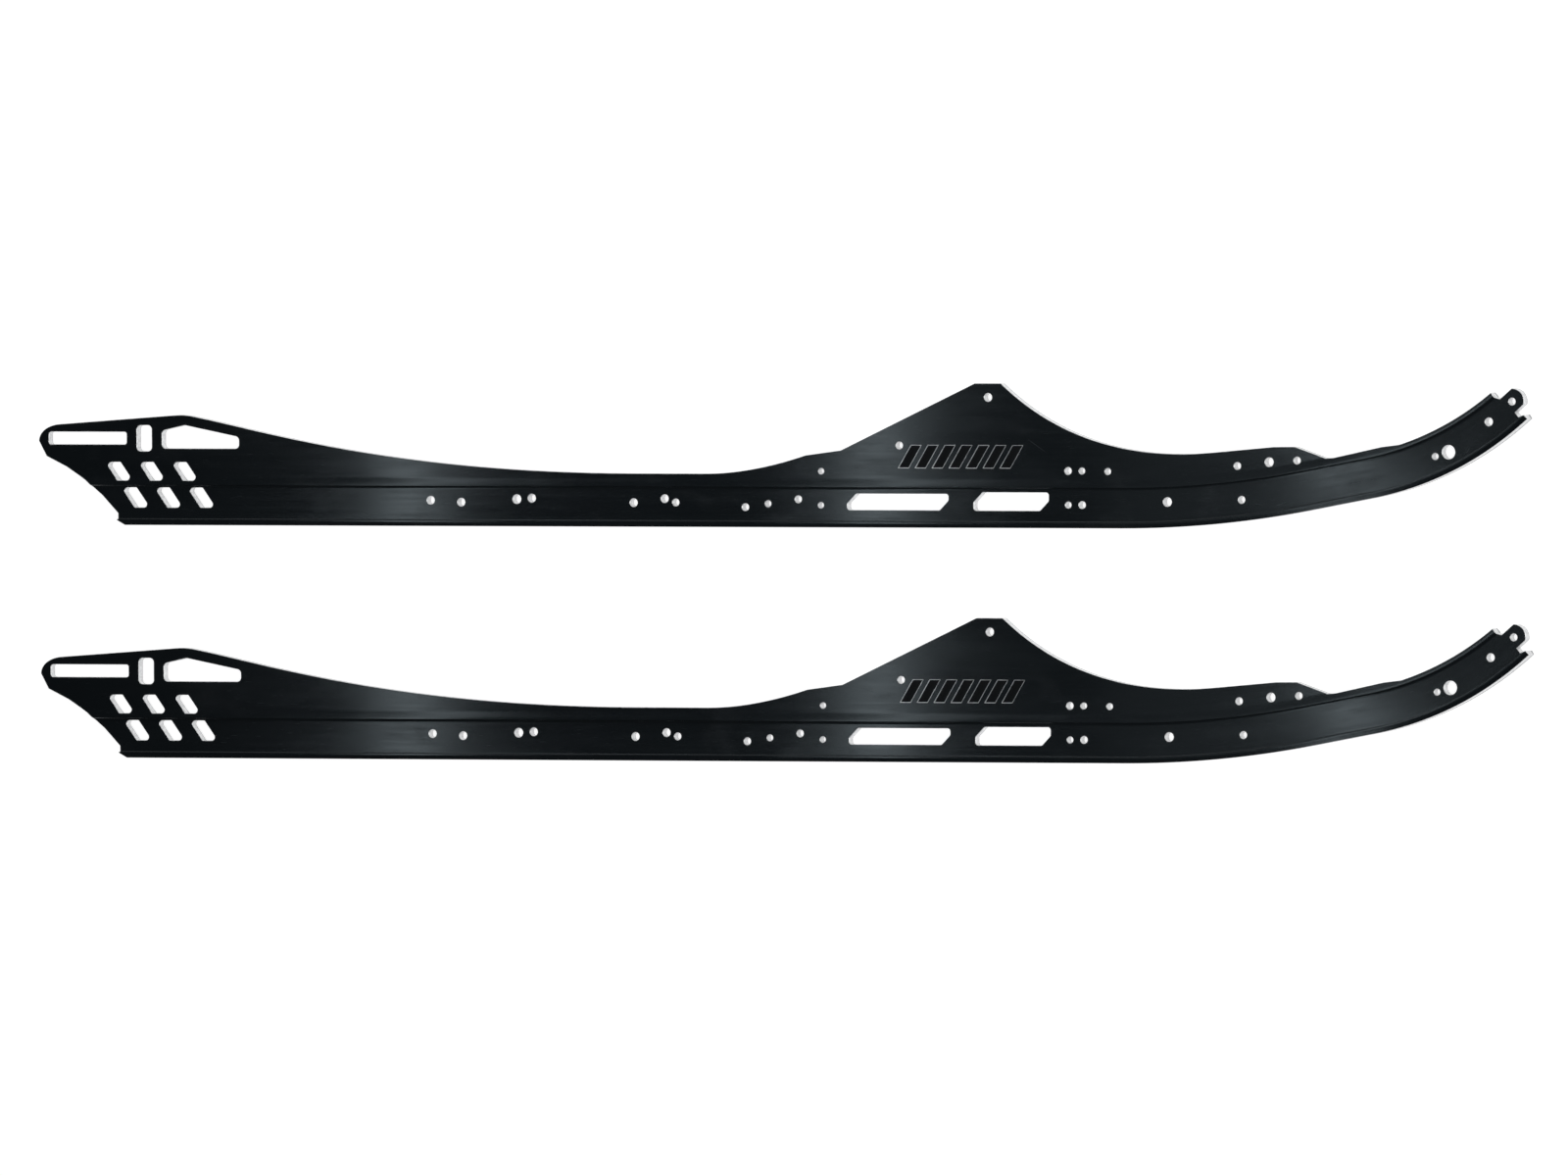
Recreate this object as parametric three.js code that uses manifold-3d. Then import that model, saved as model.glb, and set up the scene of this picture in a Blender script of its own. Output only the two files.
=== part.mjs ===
// A pair of bare slide rails from the rear suspension of a snowmobile, lying on their sides.
//
// Each rail is one aluminium extrusion: a tall web, a sole flange that carries the slider strip
// and a bead along the middle. The front is bent up in two sweeps, and the web is then cut to its
// outline and gets its windows, slots and drilled holes.
//
// Rail coordinates: x runs along the rail from its rear end, y up from the sole, z across the web.
// A place on the rail is given unrolled, as its distance along the sole and its height above it,
// so everything on the front follows the bends. Units are millimetres.

import * as THREE from 'three';
import { mergeVertices } from 'three/addons/utils/BufferGeometryUtils.js';
import Module from 'manifold-3d';

const wasm = await Module();
wasm.setup();

// ---- Driving dimensions ----

// Layout of the pair: both rails lie the same way round, one above the other
const RAIL_SPACING = 239;

// Sole line: straight, a wide sweep, a short straight, and a tight sweep that runs past the tip
const SOLE_STRAIGHT = 1222;
const WIDE_SWEEP_RADIUS = 1190;
const WIDE_SWEEP_DEGREES = 10.25;
const FRONT_STRAIGHT = 72;
const TIGHT_SWEEP_RADIUS = 366;
const TIGHT_SWEEP_DEGREES = 30;

// Extruded section
const WEB_THICKNESS = 9.5;
const FLANGE_OVERHANG = 3.25;
const FLANGE_THICKNESS = 5;
const FLANGE_FILLET = 3;
const BEAD_OVERHANG = 2;
const BEAD_HEIGHT = 41;
const BEAD_THICKNESS = 5;
const BEAD_LAND = 2;
const BEAD_ROOT_FILLET = 1.2;

// Heights of the web's edge above the sole
const NOSE_HEIGHT = 86;
const NOSE_TOP_HEIGHT = 103.3;
const HUMP_HEIGHT = 113.5;
const WAIST_HEIGHT = 54.4;
const SHOULDER_HEIGHT = 73.4;
const PEAK_HEIGHT = 147.2;

// Lengths along the rear end, from the rear
const NOSE_LENGTH = 24;
const HUMP_START = 166;
const HUMP_ROUND = { run: 10, drop: 2.1 };
const HUMP_CREST = { run: 12, drop: 0.9 };
const SOLE_START = 89.5;
const SOLE_END_CHAMFER = 8;

// The cut below the nose: a short lean forwards, then a long hollow arc down to the sole's start
const REAR_CUT = { run: 8.5, drop: 15.6 };
const REAR_HOLLOW_DEPTH = 6;
const REAR_HOLLOW_FOOT = 12;

// Lengths on the middle, back from the start of the wide sweep
const WAIST_BACK = 545;
const WAIST_LENGTH = 78;
const SHOULDER_BACK = 354;
const FLANK_BACK = 314;
const FLANK_RISE = 5.2;
const PEAK_BACK = 163;
const PEAK_LENGTH = 29.5;

// The edge from the bead's top near the tip up to the saddle ahead of the peak: distance ahead of
// the start of the wide sweep, and height above the bead's top
const FRONT_EDGE = [
  [328, 0],
  [305, 3],
  [248, 2],
  [239, 3],
  [207, 20.5],
  [182, 24.2],
  [106, 26.7],
  [88, 27],
];

// The edge's free curves, going backwards: each curve's first and last handle, as shares of the
// run and the rise that it spans
const PEAK_FRONT_CURVE = [[0.24, -0.025], [0.35, 0.95]];
const SHOULDER_CURVE = [[0.23, 0.43], [0.39, 0]];
const HUMP_FRONT_CURVE = [[0.55, 0], [0.156, 0.245]];
const NOSE_CURVE = [[0.6, 0.06], [0, 0.52]];

// Rear windows: two rows of leaning windows, the lower row half a pitch further forward
const WINDOWS_PER_ROW = 3;
const WINDOW_PITCH = 37.5;
const WINDOW_WIDTH = 17;
const WINDOW_LEAN = 0.72;
const WINDOW_CORNER = 3.5;
const WINDOW_FIRST = 91;
const UPPER_WINDOW_HEIGHT = 19;
const UPPER_WINDOW_ABOVE_BEAD = -0.4;
const LOWER_WINDOW_HEIGHT = 20.6;
const LOWER_WINDOW_BELOW_BEAD = 2.5;

// Axle slot, adjuster slot and rear lightening window
const SLOT_WIDTH = 13;
const SLOT_LENGTH = 88.4;
const SLOT_START = 11.5;
const SLOT_CENTRE = 89;
const SLOT_CORNER = 2.6;
const ADJUSTER_SLOT_WIDTH = 16.8;
const ADJUSTER_SLOT_HEIGHT = 26.8;
const ADJUSTER_SLOT_CORNER = 4.5;
const SLOT_WALL = 11.8;
const REAR_WINDOW_LENGTH = 87.4;
const REAR_WINDOW_BELOW_SLOT = 10.5;
const REAR_WINDOW_CORNER = 4.5;

// How far the rear window's top edge keeps below the top of the hump, from rear to front
const REAR_WINDOW_DEPTHS = [16.5, 11, 23];

// Long windows under the peak: how far back they start, their length and height, and the web
// left between them and the bead
const LONG_WINDOWS = [
  { back: 307, length: 113.5, height: 16.8, belowBead: 6.5 },
  { back: 165, length: 84, height: 18.7, belowBead: 4.8 },
];
const LONG_WINDOW_BEVEL = 10;
const LONG_WINDOW_CORNER = 3;

// Front end: the web reaches past the flange in a lug with a hole in it
const LUG_REACH = 2.3;
const LUG_HEIGHT = 24.6;
const LUG_RADIUS = 13.2;
const LUG_HALF_WIDTH = 10.4;
const LUG_NOTCH = 7.2;
const LUG_SHOULDER = 4;
const RIM_CUT_BACK = 16;

// Drill sizes
const DRILL_6 = 6.3;
const DRILL_7 = 6.8;
const DRILL_8 = 7.7;
const DRILL_9 = 8.6;
const DRILL_10 = 9.5;
const PIVOT_BORE = 14.4;

// Tessellation: the largest turn of the sweeps in one step, and the fineness of each kind of curve
const STEP_DEGREES = 2;
const SECTION_SEGMENTS = 1;
const OUTLINE_SEGMENTS = 8;
const WINDOW_SEGMENTS = 2;
const HOLE_SEGMENTS = 7;

// How far the trimming and cutting prisms reach past the material
const TRIM_MARGIN = 9;

// The web's low front edge and the holes above the bead are placed from the bead's top
const BEAD_TOP = BEAD_HEIGHT + BEAD_THICKNESS;

const FINISH = { color: 0x14171a, roughness: 0.42, metalness: 0.6, flatShading: true };

// ---- The sole line ----

const WIDE_SWEEP_LENGTH = WIDE_SWEEP_RADIUS * THREE.MathUtils.degToRad(WIDE_SWEEP_DEGREES);
const TIGHT_SWEEP_LENGTH = TIGHT_SWEEP_RADIUS * THREE.MathUtils.degToRad(TIGHT_SWEEP_DEGREES);
const STRETCHES = [
  { length: SOLE_STRAIGHT, curvature: 0 },
  { length: WIDE_SWEEP_LENGTH, curvature: 1 / WIDE_SWEEP_RADIUS },
  { length: FRONT_STRAIGHT, curvature: 0 },
  { length: Infinity, curvature: 1 / TIGHT_SWEEP_RADIUS },
];
const SOLE_END = SOLE_STRAIGHT + WIDE_SWEEP_LENGTH + FRONT_STRAIGHT + TIGHT_SWEEP_LENGTH;

// The point at a distance along the sole line, and the line's heading there
function soleAt(along) {
  const foot = new THREE.Vector2();
  let heading = 0;
  let left = along;
  for (const { length, curvature } of STRETCHES) {
    const run = Math.min(left, length);
    const turned = heading + run * curvature;
    if (curvature) {
      foot.x += (Math.sin(turned) - Math.sin(heading)) / curvature;
      foot.y += (Math.cos(heading) - Math.cos(turned)) / curvature;
    } else {
      foot.x += run * Math.cos(heading);
      foot.y += run * Math.sin(heading);
    }
    heading = turned;
    left -= run;
  }
  return { foot, heading };
}

// The point `along` the sole line and `above` it, square to it
function onRail(along, above) {
  const { foot, heading } = soleAt(along);
  return new THREE.Vector2(foot.x - above * Math.sin(heading), foot.y + above * Math.cos(heading));
}

// Places along the sole from one to another: only its ends on a straight, close steps on a sweep
function stations(from, to) {
  const places = [from];
  let start = 0;
  for (const { length, curvature } of STRETCHES) {
    const end = Math.min(start + length, to);
    const steps = Math.ceil(THREE.MathUtils.radToDeg((end - start) * curvature) / STEP_DEGREES) || 1;
    for (let i = 1; i <= steps; i += 1) {
      places.push(THREE.MathUtils.lerp(start, end, i / steps));
    }
    start = end;
  }
  return places.filter((place, i) => i === 0 || place > places[i - 1]);
}

// The sole line as a path to extrude along, with one step from each station to the next
class SoleLine extends THREE.Curve {
  constructor(places) {
    super();
    this.places = places;
  }

  placeAt(t) {
    return this.places[Math.round(t * (this.places.length - 1))];
  }

  getPointAt(t) {
    const { foot } = soleAt(this.placeAt(t));
    return new THREE.Vector3(foot.x, foot.y, 0);
  }

  getTangentAt(t) {
    const { heading } = soleAt(this.placeAt(t));
    return new THREE.Vector3(Math.cos(heading), Math.sin(heading), 0);
  }
}

// ---- Drawing helpers ----

function lineTo(shape, along, above) {
  const point = onRail(along, above);
  shape.lineTo(point.x, point.y);
}

// Lines that stay `above` the sole from one place along it to another, forwards or backwards
function followSole(shape, from, to, above) {
  const places = stations(0, Math.max(from, to)).filter((place) => place > Math.min(from, to));
  const onTheWay = [Math.min(from, to), ...places];
  if (from > to) {
    onTheWay.reverse();
  }
  for (const place of onTheWay) {
    lineTo(shape, place, above);
  }
}

// A circular arc to a point; the arc's middle stands `rise` off the chord, to its right
function arcTo(shape, end, rise) {
  const start = shape.currentPoint.clone();
  const half = end.clone().sub(start).multiplyScalar(0.5);
  const radius = (half.lengthSq() + rise * rise) / (2 * rise);
  const toCentre = new THREE.Vector2(-half.y, half.x).normalize().multiplyScalar(radius - rise);
  const centre = start.clone().add(half).add(toCentre);
  const startAngle = start.sub(centre).angle();
  const endAngle = end.clone().sub(centre).angle();
  shape.absarc(centre.x, centre.y, Math.abs(radius), startAngle, endAngle, radius < 0);
}

// A cubic curve to a point; its two handles are shares of the span's run and rise
function curveTo(shape, end, [[startRun, startRise], [endRun, endRise]]) {
  const start = shape.currentPoint;
  const run = end.x - start.x;
  const rise = end.y - start.y;
  shape.bezierCurveTo(
    start.x + startRun * run, start.y + startRise * rise,
    end.x - endRun * run, end.y - endRise * rise,
    end.x, end.y,
  );
}

// A closed outline with straight sides whose corners are rounded to their own radius
function roundedOutline(corners) {
  const shape = new THREE.Shape();
  corners.forEach(({ point, radius }, i) => {
    const before = corners.at(i - 1).point.clone().sub(point).normalize();
    const after = corners[(i + 1) % corners.length].point.clone().sub(point).normalize();
    const halfAngle = Math.acos(THREE.MathUtils.clamp(before.dot(after), -1, 1)) / 2;
    const middle = before.clone().add(after).normalize();
    const centre = point.clone().addScaledVector(middle, radius / Math.sin(halfAngle));
    const reach = radius / Math.tan(halfAngle);
    const first = point.clone().addScaledVector(before, reach);
    const last = point.clone().addScaledVector(after, reach);
    const start = first.sub(centre).angle();
    const end = last.sub(centre).angle();
    shape.absarc(centre.x, centre.y, radius, start, end, before.cross(after) > 0);
  });
  return shape;
}

// ---- Solids ----

function toSolid(geometry) {
  geometry.deleteAttribute('normal');
  geometry.deleteAttribute('uv');
  const merged = mergeVertices(geometry);
  const mesh = new wasm.Mesh({
    numProp: 3,
    vertProperties: Float32Array.from(merged.attributes.position.array),
    triVerts: Uint32Array.from(merged.index.array),
  });
  return new wasm.Manifold(mesh);
}

function toGeometry(solid) {
  const { vertProperties, triVerts } = solid.getMesh();
  const geometry = new THREE.BufferGeometry();
  geometry.setAttribute('position', new THREE.Float32BufferAttribute(vertProperties, 3));
  geometry.setIndex(new THREE.Uint32BufferAttribute(triVerts, 1));
  geometry.computeVertexNormals();
  return geometry;
}

// A prism of the shape that passes right through the rail, flange and all
function throughPrism(shape, curveSegments) {
  const depth = WEB_THICKNESS + 2 * FLANGE_OVERHANG + 2 * TRIM_MARGIN;
  const geometry = new THREE.ExtrudeGeometry(shape, { depth, bevelEnabled: false, curveSegments });
  geometry.translate(0, 0, -depth / 2);
  return toSolid(geometry);
}

// ---- The extruded section ----

// One side of the section, from the sole to the top, as distance from the web's middle and height
function sectionSide() {
  const web = WEB_THICKNESS / 2;
  const flange = web + FLANGE_OVERHANG;
  const bead = web + BEAD_OVERHANG;
  const side = new THREE.Path();
  side.moveTo(flange, 0);
  side.lineTo(flange, FLANGE_THICKNESS);
  const fillet = Math.min(FLANGE_FILLET, FLANGE_OVERHANG);
  side.absarc(web + fillet, FLANGE_THICKNESS + fillet, fillet, -Math.PI / 2, -Math.PI, true);
  const root = BEAD_HEIGHT - BEAD_ROOT_FILLET;
  side.lineTo(web, root);
  side.absarc(web + BEAD_ROOT_FILLET, root, BEAD_ROOT_FILLET, Math.PI, Math.PI / 2, true);
  side.lineTo(bead, BEAD_HEIGHT);
  side.lineTo(bead, BEAD_HEIGHT + BEAD_LAND);
  side.quadraticCurveTo(web, BEAD_HEIGHT + BEAD_LAND, web, BEAD_TOP);
  side.lineTo(web, PEAK_HEIGHT + TRIM_MARGIN);
  return side.getPoints(SECTION_SEGMENTS);
}

function extrusion() {
  const right = sectionSide();
  const left = right.map((point) => new THREE.Vector2(-point.x, point.y)).reverse();
  const section = new THREE.Shape([...right, ...left]);
  const places = stations(-TRIM_MARGIN, SOLE_END + LUG_RADIUS + TRIM_MARGIN);
  const steps = places.length - 1;
  const extrudePath = new SoleLine(places);
  return toSolid(new THREE.ExtrudeGeometry(section, { steps, extrudePath }));
}

// ---- The outline ----

// Everything inside this outline stays; below the sole it only has to clear the flange
function railOutline() {
  const shape = new THREE.Shape();
  const below = -TRIM_MARGIN;
  const chamferSlope = SOLE_END_CHAMFER / FLANGE_THICKNESS;
  const bottomStart = SOLE_START + chamferSlope * (FLANGE_THICKNESS + TRIM_MARGIN);
  const start = onRail(bottomStart, below);
  shape.moveTo(start.x, start.y);
  followSole(shape, bottomStart, SOLE_END, below);
  drawFrontEnd(shape);
  drawFrontEdge(shape);
  drawPeak(shape);
  drawRear(shape);
  lineTo(shape, SOLE_START, FLANGE_THICKNESS);
  return shape;
}

// The flange's tip, the notch above it, the lug, and the cut end of the bead
function drawFrontEnd(shape) {
  const lugHole = onRail(SOLE_END - LUG_REACH, LUG_HEIGHT);
  const tangent = onRail(SOLE_END - LUG_REACH, 0).sub(onRail(SOLE_END - LUG_REACH - 1, 0));
  const spread = Math.asin(LUG_HALF_WIDTH / LUG_RADIUS);
  const root = SOLE_END - LUG_NOTCH;
  lineTo(shape, SOLE_END, FLANGE_THICKNESS);
  lineTo(shape, root, FLANGE_THICKNESS + FLANGE_FILLET);
  lineTo(shape, root, LUG_HEIGHT - LUG_HALF_WIDTH);
  shape.absarc(
    lugHole.x, lugHole.y, LUG_RADIUS, tangent.angle() - spread, tangent.angle() + spread, false,
  );
  lineTo(shape, SOLE_END - RIM_CUT_BACK + LUG_SHOULDER, LUG_HEIGHT + LUG_HALF_WIDTH);
  lineTo(shape, SOLE_END - RIM_CUT_BACK, BEAD_HEIGHT - BEAD_ROOT_FILLET);
  lineTo(shape, SOLE_END - RIM_CUT_BACK, BEAD_TOP);
}

// The edge behind the front end: along the bead, over a low stretch and up to the saddle
function drawFrontEdge(shape) {
  const [[leavesBead]] = FRONT_EDGE;
  followSole(shape, SOLE_END - RIM_CUT_BACK, SOLE_STRAIGHT + leavesBead, BEAD_TOP);
  for (const [ahead, aboveBead] of FRONT_EDGE.slice(1)) {
    lineTo(shape, SOLE_STRAIGHT + ahead, BEAD_TOP + aboveBead);
  }
}

// The peak that carries the front arm's bracket, its two flanks and the shoulder behind it
function drawPeak(shape) {
  const peakStart = SOLE_STRAIGHT - PEAK_BACK;
  curveTo(shape, onRail(peakStart + PEAK_LENGTH, PEAK_HEIGHT), PEAK_FRONT_CURVE);
  lineTo(shape, peakStart, PEAK_HEIGHT);
  lineTo(shape, SOLE_STRAIGHT - FLANK_BACK, SHOULDER_HEIGHT + FLANK_RISE);
  lineTo(shape, SOLE_STRAIGHT - SHOULDER_BACK, SHOULDER_HEIGHT);
  const waistStart = SOLE_STRAIGHT - WAIST_BACK;
  curveTo(shape, onRail(waistStart + WAIST_LENGTH, WAIST_HEIGHT), SHOULDER_CURVE);
  lineTo(shape, waistStart, WAIST_HEIGHT);
}

// The long hollow up to the hump, the rear arm's top edge, the nose and the rear cut
function drawRear(shape) {
  const crestStart = onRail(HUMP_START + HUMP_ROUND.run, HUMP_HEIGHT - HUMP_ROUND.drop);
  const crestEnd = onRail(HUMP_START - HUMP_CREST.run, HUMP_HEIGHT - HUMP_CREST.drop);
  curveTo(shape, crestStart, HUMP_FRONT_CURVE);
  shape.quadraticCurveTo(HUMP_START, HUMP_HEIGHT, crestEnd.x, crestEnd.y);
  lineTo(shape, NOSE_LENGTH, NOSE_TOP_HEIGHT);
  curveTo(shape, onRail(0, NOSE_HEIGHT), NOSE_CURVE);
  lineTo(shape, REAR_CUT.run, NOSE_HEIGHT - REAR_CUT.drop);
  arcTo(shape, onRail(SOLE_START, REAR_HOLLOW_FOOT), -REAR_HOLLOW_DEPTH);
}

// ---- Windows, slots and holes ----

function corner(along, above, radius) {
  return { point: onRail(along, above), radius };
}

// A slot or window with square sides and equal corners
function squareWindow(start, length, low, high, radius) {
  return roundedOutline([
    corner(start, low, radius),
    corner(start + length, low, radius),
    corner(start + length, high, radius),
    corner(start, high, radius),
  ]);
}

// A window whose sides lean back as they rise
function leaningWindow(middle, centre, height) {
  const half = height / 2;
  const lean = WINDOW_LEAN * half;
  const side = WINDOW_WIDTH / 2;
  return roundedOutline([
    corner(middle - side + lean, centre - half, WINDOW_CORNER / 2),
    corner(middle + side + lean, centre - half, WINDOW_CORNER),
    corner(middle + side - lean, centre + half, WINDOW_CORNER / 2),
    corner(middle - side - lean, centre + half, WINDOW_CORNER),
  ]);
}

// A long window with two opposite corners cut off
function longWindow({ back, length, height, belowBead }) {
  const start = SOLE_STRAIGHT - back;
  const end = start + length;
  const high = BEAD_HEIGHT - belowBead;
  const low = high - height;
  return roundedOutline([
    corner(start, low, LONG_WINDOW_CORNER),
    corner(end - LONG_WINDOW_BEVEL, low, LONG_WINDOW_CORNER),
    corner(end, low + LONG_WINDOW_BEVEL, LONG_WINDOW_CORNER),
    corner(end, high, LONG_WINDOW_CORNER),
    corner(start + LONG_WINDOW_BEVEL, high, LONG_WINDOW_CORNER),
    corner(start, high - LONG_WINDOW_BEVEL, LONG_WINDOW_CORNER),
  ]);
}

// The lightening window ahead of the adjuster slot, which follows the hump above it
function rearWindow() {
  const start = SLOT_START + SLOT_LENGTH + 2 * SLOT_WALL + ADJUSTER_SLOT_WIDTH;
  const end = start + REAR_WINDOW_LENGTH;
  const low = SLOT_CENTRE - REAR_WINDOW_BELOW_SLOT;
  const [rearDepth, crestDepth, frontDepth] = REAR_WINDOW_DEPTHS;
  return roundedOutline([
    corner(start, low, REAR_WINDOW_CORNER),
    corner(end, low, REAR_WINDOW_CORNER),
    corner(end, HUMP_HEIGHT - frontDepth, REAR_WINDOW_CORNER),
    corner(HUMP_START, HUMP_HEIGHT - crestDepth, REAR_WINDOW_CORNER),
    corner(start, HUMP_HEIGHT - rearDepth, REAR_WINDOW_CORNER),
  ]);
}

function windowOutlines() {
  const slotLow = SLOT_CENTRE - SLOT_WIDTH / 2;
  const slotHigh = SLOT_CENTRE + SLOT_WIDTH / 2;
  const adjusterStart = SLOT_START + SLOT_LENGTH + SLOT_WALL;
  const adjusterLow = SLOT_CENTRE - ADJUSTER_SLOT_HEIGHT / 2;
  const adjusterHigh = SLOT_CENTRE + ADJUSTER_SLOT_HEIGHT / 2;
  const outlines = [
    squareWindow(SLOT_START, SLOT_LENGTH, slotLow, slotHigh, SLOT_CORNER),
    squareWindow(
      adjusterStart, ADJUSTER_SLOT_WIDTH, adjusterLow, adjusterHigh, ADJUSTER_SLOT_CORNER,
    ),
    rearWindow(),
    ...LONG_WINDOWS.map(longWindow),
  ];
  const upperCentre = BEAD_TOP + UPPER_WINDOW_ABOVE_BEAD + UPPER_WINDOW_HEIGHT / 2;
  const lowerCentre = BEAD_HEIGHT - LOWER_WINDOW_BELOW_BEAD - LOWER_WINDOW_HEIGHT / 2;
  for (let i = 0; i < WINDOWS_PER_ROW; i += 1) {
    const middle = WINDOW_FIRST + i * WINDOW_PITCH;
    outlines.push(leaningWindow(middle, upperCentre, UPPER_WINDOW_HEIGHT));
    outlines.push(leaningWindow(middle + WINDOW_PITCH / 2, lowerCentre, LOWER_WINDOW_HEIGHT));
  }
  return outlines;
}

// Drilled holes: distance ahead of the start of the wide sweep, height above the sole, diameter
const HOLES = [
  // rear wheel and rear arm brackets
  [-777, 26.4, DRILL_9],
  [-742.5, 24.5, DRILL_9],
  [-679.5, 27.8, DRILL_10],
  [-662.5, 28.8, DRILL_9],
  [-547.5, 24.6, DRILL_9],
  [-512.5, 28.8, DRILL_9],
  [-500, 25, DRILL_8],
  // shock mount and mid wheels, behind the long windows
  [-421.5, 20.4, DRILL_8],
  [-396, 24, DRILL_7],
  [-362, 28.6, DRILL_8],
  [-336.5, 22.6, DRILL_6],
  [-336, BEAD_TOP + 11.3, DRILL_6],
  // front arm bracket on the peak
  [-248, PEAK_HEIGHT - 63.4, DRILL_8],
  [-148, PEAK_HEIGHT - 14.2, DRILL_9],
  // cross-shaft brackets ahead of the peak
  [-59, BEAD_TOP + 12.3, DRILL_8],
  [-59, 23.6, DRILL_7],
  [-43.5, BEAD_TOP + 12.3, DRILL_7],
  [-43.5, 23.7, DRILL_8],
  [-14.5, BEAD_TOP + 11.8, DRILL_7],
  // along the wide sweep
  [53, 25.9, DRILL_10],
  [137, BEAD_TOP + 10.4, DRILL_8],
  [137.5, 21.7, DRILL_8],
  [174.5, BEAD_TOP + 9.7, DRILL_10],
  [207, BEAD_TOP + 6.4, DRILL_8],
];

// Holes near the tip: distance behind the end of the sole, height above the sole, diameter
const TIP_HOLES = [
  [111.8, 21.4, DRILL_7],
  [95.6, 19.4, PIVOT_BORE],
  [37.7, 23.8, DRILL_9],
  [LUG_REACH, LUG_HEIGHT, DRILL_8],
];

function drilledHole(along, above, diameter) {
  const centre = onRail(along, above);
  const shape = new THREE.Shape();
  shape.absarc(centre.x, centre.y, diameter / 2, 0, 2 * Math.PI);
  return shape;
}

function holeOutlines() {
  return [
    ...HOLES.map(([ahead, above, size]) => drilledHole(SOLE_STRAIGHT + ahead, above, size)),
    ...TIP_HOLES.map(([back, above, size]) => drilledHole(SOLE_END - back, above, size)),
  ];
}

// ---- The rails ----

function railGeometry() {
  let rail = extrusion().intersect(throughPrism(railOutline(), OUTLINE_SEGMENTS));
  for (const outline of windowOutlines()) {
    rail = rail.subtract(throughPrism(outline, WINDOW_SEGMENTS));
  }
  for (const outline of holeOutlines()) {
    rail = rail.subtract(throughPrism(outline, HOLE_SEGMENTS));
  }
  return toGeometry(rail);
}

function namedRail(name, offset) {
  const rail = new THREE.Mesh(railGeometry(), new THREE.MeshStandardMaterial(FINISH));
  rail.name = name;
  rail.position.y = offset;
  return rail;
}

const pair = new THREE.Group();
pair.add(namedRail('slide_rail_1', RAIL_SPACING / 2));
pair.add(namedRail('slide_rail_2', -RAIL_SPACING / 2));

// The origin is the middle of the pair's footprint, on the surface that the rails lie on
const bounds = new THREE.Box3().setFromObject(pair, true);
const middle = bounds.getCenter(new THREE.Vector3());
pair.position.set(-middle.x, -middle.y, -bounds.min.z);

export default pair;
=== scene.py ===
"""A pair of bare snowmobile slide rails, lying on their sides on a pale floor.

Each rail is one mesh: a front and a back sheet that follow the extruded section, joined by the cut
walls of the outline, windows and holes, with a small break along every cut edge. Lengths are in
millimetres on the rail, and in metres in the scene. A place on the rail is given unrolled, as its
distance along the sole and its height above it.
"""

import math

import bpy
import numpy as np
from mathutils import Matrix, Vector
from mathutils.geometry import delaunay_2d_cdt

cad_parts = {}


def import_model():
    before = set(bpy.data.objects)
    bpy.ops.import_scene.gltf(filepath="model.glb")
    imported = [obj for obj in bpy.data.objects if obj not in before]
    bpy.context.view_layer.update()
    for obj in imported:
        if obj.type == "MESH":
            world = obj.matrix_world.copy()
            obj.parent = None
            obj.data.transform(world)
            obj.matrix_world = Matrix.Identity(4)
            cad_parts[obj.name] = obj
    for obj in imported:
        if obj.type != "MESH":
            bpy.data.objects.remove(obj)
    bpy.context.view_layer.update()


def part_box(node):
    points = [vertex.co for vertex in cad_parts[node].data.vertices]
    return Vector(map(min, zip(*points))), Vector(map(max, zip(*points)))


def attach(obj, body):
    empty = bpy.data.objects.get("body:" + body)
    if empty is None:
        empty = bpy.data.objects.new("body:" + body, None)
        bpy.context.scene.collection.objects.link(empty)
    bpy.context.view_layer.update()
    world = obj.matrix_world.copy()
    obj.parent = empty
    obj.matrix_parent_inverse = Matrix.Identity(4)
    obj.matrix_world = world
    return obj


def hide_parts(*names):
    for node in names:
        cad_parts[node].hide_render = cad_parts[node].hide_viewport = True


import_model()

MM = 0.001

# ---- Dimensions of the rail, as in the CAD part ----

SOLE_STRAIGHT = 1222
WIDE_SWEEP_RADIUS = 1190
WIDE_SWEEP = math.radians(10.25)
FRONT_STRAIGHT = 72
TIGHT_SWEEP_RADIUS = 366
TIGHT_SWEEP = math.radians(30)

WEB_HALF = 4.75
FLANGE_HALF = 8
FLANGE_THICKNESS = 5
FLANGE_FILLET = 3
BEAD_HEIGHT = 41
BEAD_TOP = 46
BEAD_ROOT_FILLET = 1.2

NOSE_HEIGHT = 86
NOSE_TOP_HEIGHT = 103.3
HUMP_HEIGHT = 113.5
WAIST_HEIGHT = 54.4
SHOULDER_HEIGHT = 73.4
PEAK_HEIGHT = 147.2

NOSE_LENGTH = 24
HUMP_START = 166
HUMP_ROUND = (10, 2.1)
HUMP_CREST = (12, 0.9)
SOLE_START = 89.5
SOLE_END_CHAMFER = 8
REAR_CUT = (8.5, 15.6)
REAR_HOLLOW_DEPTH = 6
REAR_HOLLOW_FOOT = 12

WAIST_BACK = 545
WAIST_LENGTH = 78
SHOULDER_BACK = 354
FLANK_BACK = 314
FLANK_RISE = 5.2
PEAK_BACK = 163
PEAK_LENGTH = 29.5

# Distance ahead of the start of the wide sweep, and height above the bead's top
FRONT_EDGE = [
    (328, 0), (305, 3), (248, 2), (239, 3), (207, 20.5), (182, 24.2), (106, 26.7), (88, 27),
]

# First and last handle of each free curve, as shares of the run and rise that it spans
PEAK_FRONT_CURVE = ((0.24, -0.025), (0.35, 0.95))
SHOULDER_CURVE = ((0.23, 0.43), (0.39, 0))
HUMP_FRONT_CURVE = ((0.55, 0), (0.156, 0.245))
NOSE_CURVE = ((0.6, 0.06), (0, 0.52))

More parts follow.
